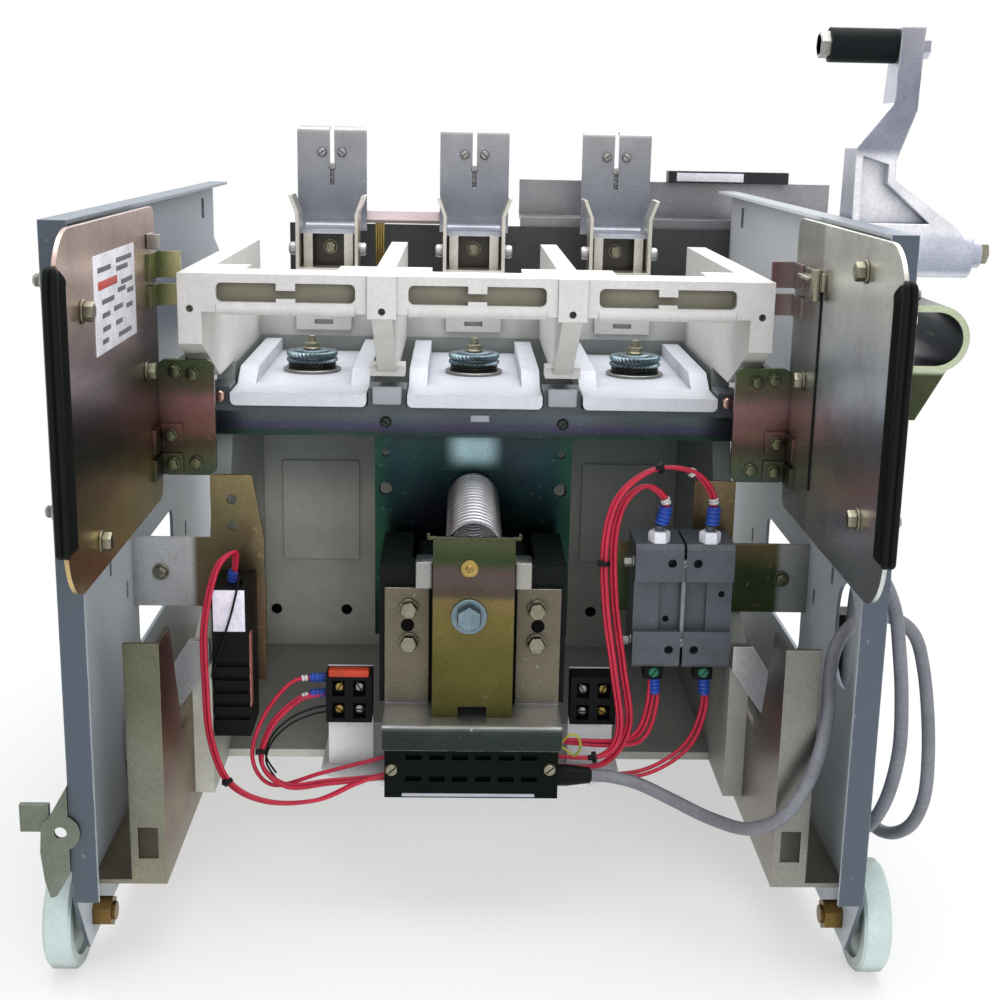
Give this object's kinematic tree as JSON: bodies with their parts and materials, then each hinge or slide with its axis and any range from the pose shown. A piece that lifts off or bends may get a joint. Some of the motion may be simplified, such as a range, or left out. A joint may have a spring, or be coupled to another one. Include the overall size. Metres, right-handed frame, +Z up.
{
  "type": "vacuum contactor",
  "caption": "Draw-out vacuum contactor truck: insulated pole moulding with rocking contact carriers and magnet between painted side plates on wheels, with a racking handle",
  "frame": {"origin": "middle of the floor under the part's bounding box", "axes": "+X to the right seen from the control side, +Y from the control side to the back, +Z up"},
  "size_m": [0.632, 0.731, 0.615],
  "materials": {
    "plate_paint": "semi-gloss grey-blue enamel",
    "bronze_zinc": "bronze dichromated zinc",
    "bright_zinc": "bright zinc",
    "yellow_zinc": "yellow dichromated zinc",
    "blue_zinc": "blue iridescent zinc",
    "clip_zinc": "dull grey zinc",
    "shelf_steel": "satin sheet steel",
    "spring_steel": "bright drawn wire",
    "cream_moulding": "moulded, faint mottle",
    "white_moulding": "moulded, cool white",
    "black_plastic": "moulded, matt",
    "grey_plastic": "moulded, fine grain",
    "pink_board": "laminate board",
    "red_wire": "smooth insulation",
    "dark_bar": "dark grey paint",
    "core_black": "black varnish on steel sheets",
    "contact_plate": "silvered, champagne tint",
    "ceramic": "glazed white",
    "cast_alu": "sand-cast, satin",
    "grip_black": "smooth, worn",
    "trim_rubber": "extruded, matt",
    "cable_grey": "smooth jacket",
    "wheel_white": "turned, satin"
  },
  "bodies": {
    "truck": {"left_side_plate": "plate_paint", "right_side_plate": "plate_paint", "left_panel": "bronze_zinc", "right_panel": "bright_zinc", "edge_trims": "trim_rubber", "panel_spacers": "bright_zinc", "left_rail": "yellow_zinc", "right_rail": "yellow_zinc", "struts": "cream_moulding", "axles": "yellow_zinc", "pole_moulding": "cream_moulding", "base_moulding": "cream_moulding", "bearing_brackets": "yellow_zinc", "panel_tabs": "yellow_zinc", "opening_spring": "spring_steel", "spring_bracket": "yellow_zinc", "magnet_core": "core_black", "magnet_coil": "black_plastic", "magnet_bracket": "bright_zinc", "magnet_base": "bright_zinc", "coil_cover": "black_plastic", "aux_switches": "grey_plastic", "aux_bracket": "yellow_zinc", "relay": "black_plastic", "relay_bracket": "yellow_zinc", "terminal_blocks": "black_plastic", "fuse_clips": "clip_zinc", "contact_jaws": "contact_plate", "vacuum_bottles": "ceramic", "rear_barrier": "black_plastic", "tie_bar": "pink_board", "rear_shelf": "shelf_steel", "rear_duct": "black_plastic", "handle_stub": "bright_zinc", "hook_bracket": "yellow_zinc", "latch_plate": "bright_zinc", "wires": "red_wire", "cable_gland": "trim_rubber", "cable": "cable_grey", "cable_clip": "black_plastic", "plug": "black_plastic", "plug_clip": "bright_zinc"},
    "rocker": {"crossbar": "dark_bar", "carriers": "white_moulding", "adjusters": "blue_zinc", "armature": "blue_zinc"},
    "lever": {"handle": "cast_alu"},
    "roller": {"grip": "grip_black"},
    "front_left": {"wheel_front_left": "wheel_white"},
    "front_right": {"wheel_front_right": "wheel_white"},
    "rear_left": {"wheel_rear_left": "wheel_white"},
    "rear_right": {"wheel_rear_right": "wheel_white"}
  },
  "joints": [
    {"name": "front_left_spin", "type": "hinge", "parent": "truck", "child": "front_left", "pos_m": [-0.3, -0.2345, 0.037], "axis": [1, 0, 0], "continuous": true},
    {"name": "front_right_spin", "type": "hinge", "parent": "truck", "child": "front_right", "pos_m": [0.228, -0.2345, 0.037], "axis": [1, 0, 0], "continuous": true},
    {"name": "rear_left_spin", "type": "hinge", "parent": "truck", "child": "rear_left", "pos_m": [-0.3, 0.3195, 0.037], "axis": [1, 0, 0], "continuous": true},
    {"name": "rear_right_spin", "type": "hinge", "parent": "truck", "child": "rear_right", "pos_m": [0.228, 0.3195, 0.037], "axis": [1, 0, 0], "continuous": true},
    {"name": "handle_swing", "type": "hinge", "parent": "truck", "child": "lever", "pos_m": [0.2645, -0.0775, 0.465], "axis": [1, 0, 0], "range_deg": [0, 65]},
    {"name": "grip_spin", "type": "hinge", "parent": "lever", "child": "roller", "pos_m": [0.2235, -0.0775, 0.603], "axis": [1, 0, 0], "continuous": true},
    {"name": "armature_swing", "type": "hinge", "parent": "truck", "child": "rocker", "pos_m": [-0.036, -0.0245, 0.347], "axis": [-1, 0, 0], "range_deg": [0, 3], "stiffness_Nm_per_rad": 30, "springref_deg": -14.32, "deforming": ["opening_spring"]}
  ]
}
